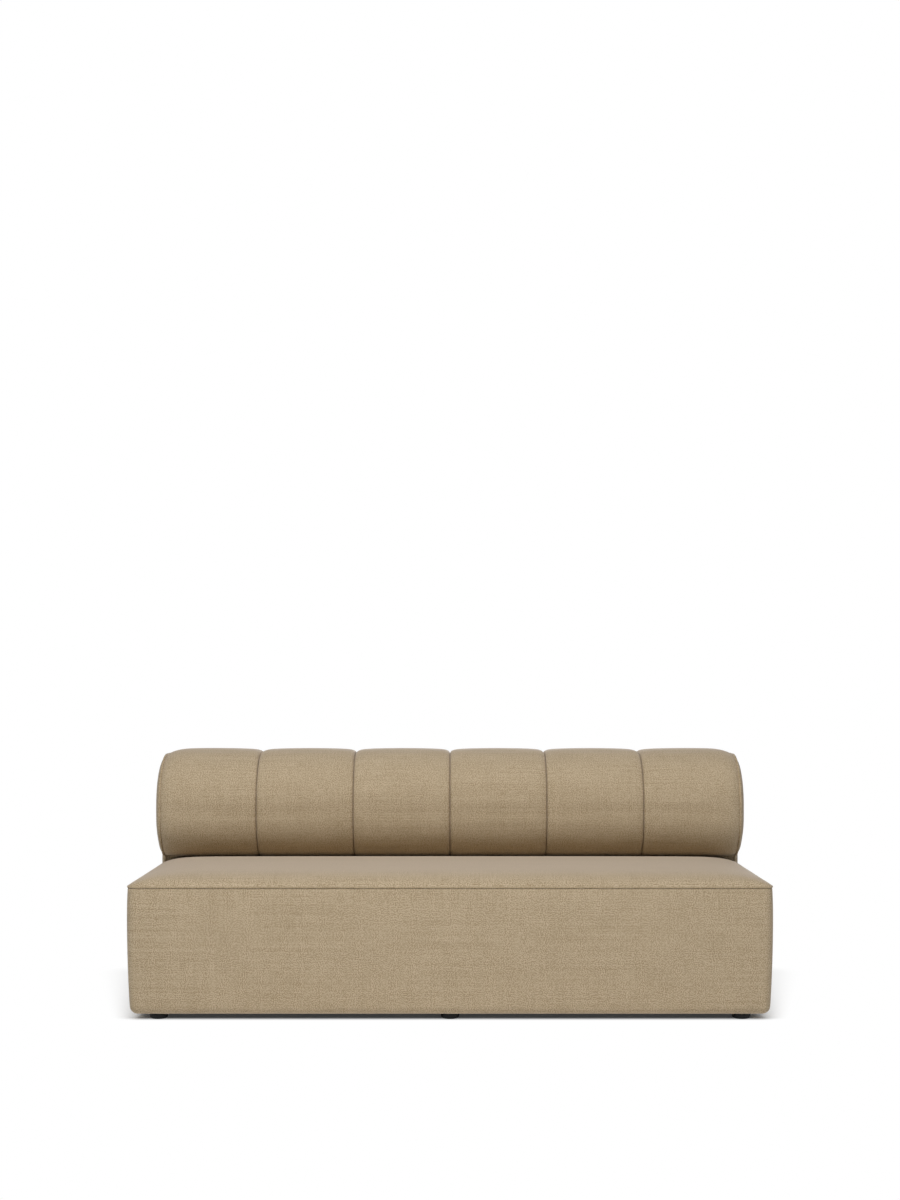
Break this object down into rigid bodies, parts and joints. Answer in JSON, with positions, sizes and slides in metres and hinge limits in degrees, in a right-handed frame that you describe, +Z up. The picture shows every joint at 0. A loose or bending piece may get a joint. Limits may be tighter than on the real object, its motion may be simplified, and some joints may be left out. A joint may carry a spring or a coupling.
{
  "type": "modular sofa",
  "caption": "Low armless modular sofa: piped box seat with a crowned top, and a channelled roll back that overhangs a narrower neck.",
  "frame": {"origin": "on the floor under the middle of the sofa", "axes": "+X to the right seen from the front, +Y towards the back, +Z up; a sitter looks along -Y"},
  "size_m": [1.7256, 0.86, 0.703],
  "materials": {
    "upholstery_fabric": "basket weave melange in tan and beige",
    "piping_fabric": "the same weave, cut on the bias over cord",
    "foam": "open cell foam",
    "wadding": "bonded polyester fibre",
    "plywood": "sawn birch plywood",
    "solid_pine": "planed pine",
    "hardboard": "smooth one side",
    "webbing": "elastic webbing",
    "dust_cloth": "non-woven black cloth",
    "glide_plastic": "moulded black, fine texture",
    "zinc_steel": "zinc plated"
  },
  "bodies": {
    "sofa": {"back_base_board": "plywood", "back_bent_skin": "hardboard", "back_channel_1": "upholstery_fabric", "back_channel_2": "upholstery_fabric", "back_channel_3": "upholstery_fabric", "back_channel_4": "upholstery_fabric", "back_channel_5": "upholstery_fabric", "back_channel_6": "upholstery_fabric", "back_dust_cover": "dust_cloth", "back_end_panel_left": "upholstery_fabric", "back_end_panel_right": "upholstery_fabric", "back_foam": "foam", "back_front_board": "plywood", "back_nose_rail": "plywood", "back_nut_plates": "zinc_steel", "back_piping_left": "piping_fabric", "back_piping_right": "piping_fabric", "back_pull_straps": "webbing", "back_rear_board": "hardboard", "back_rear_rail": "plywood", "back_rib_1": "plywood", "back_rib_2": "plywood", "back_rib_3": "plywood", "back_rib_4": "plywood", "back_rib_5": "plywood", "back_rib_6": "plywood", "back_rib_7": "plywood", "back_top_rail": "plywood", "joining_bolts": "zinc_steel", "joining_nut_plates": "zinc_steel", "joining_spacer_blocks": "plywood", "link_peg_plates": "zinc_steel", "link_pivot_plates": "zinc_steel", "seat_corner_blocks": "solid_pine", "seat_cross_rails": "solid_pine", "seat_dust_cover": "dust_cloth", "seat_foam": "foam", "seat_foot_boards": "plywood", "seat_front_rail": "solid_pine", "seat_nut_plates": "zinc_steel", "seat_piping": "piping_fabric", "seat_rear_rail": "solid_pine", "seat_side_cover": "upholstery_fabric", "seat_side_padding": "foam", "seat_side_rails": "solid_pine", "seat_top_cover": "upholstery_fabric", "seat_wadding": "wadding", "webbing_front_to_back": "webbing", "webbing_side_to_side": "webbing"},
    "glide_front_left": {"glide_front_left": "glide_plastic"},
    "glide_front_centre": {"glide_front_centre": "glide_plastic"},
    "glide_front_right": {"glide_front_right": "glide_plastic"},
    "glide_rear_left": {"glide_rear_left": "glide_plastic"},
    "glide_rear_centre": {"glide_rear_centre": "glide_plastic"},
    "glide_rear_right": {"glide_rear_right": "glide_plastic"},
    "link_arm_front": {"link_arm_front": "zinc_steel"},
    "link_arm_rear": {"link_arm_rear": "zinc_steel"}
  },
  "joints": [
    {"name": "glide_front_left_screw", "type": "slide", "parent": "sofa", "child": "glide_front_left", "axis": [0, 0, -1], "range_m": [0, 0.01]},
    {"name": "glide_front_centre_screw", "type": "slide", "parent": "sofa", "child": "glide_front_centre", "axis": [0, 0, -1], "range_m": [0, 0.01]},
    {"name": "glide_front_right_screw", "type": "slide", "parent": "sofa", "child": "glide_front_right", "axis": [0, 0, -1], "range_m": [0, 0.01]},
    {"name": "glide_rear_left_screw", "type": "slide", "parent": "sofa", "child": "glide_rear_left", "axis": [0, 0, -1], "range_m": [0, 0.01]},
    {"name": "glide_rear_centre_screw", "type": "slide", "parent": "sofa", "child": "glide_rear_centre", "axis": [0, 0, -1], "range_m": [0, 0.01]},
    {"name": "glide_rear_right_screw", "type": "slide", "parent": "sofa", "child": "glide_rear_right", "axis": [0, 0, -1], "range_m": [0, 0.01]},
    {"name": "link_arm_front_swing", "type": "hinge", "parent": "sofa", "child": "link_arm_front", "pos_m": [-0.82825, -0.27, 0.01395], "axis": [0, 0, 1], "range_deg": [0, 90]},
    {"name": "link_arm_rear_swing", "type": "hinge", "parent": "sofa", "child": "link_arm_rear", "pos_m": [-0.82825, 0.06, 0.01395], "axis": [0, 0, 1], "range_deg": [0, 90]}
  ]
}
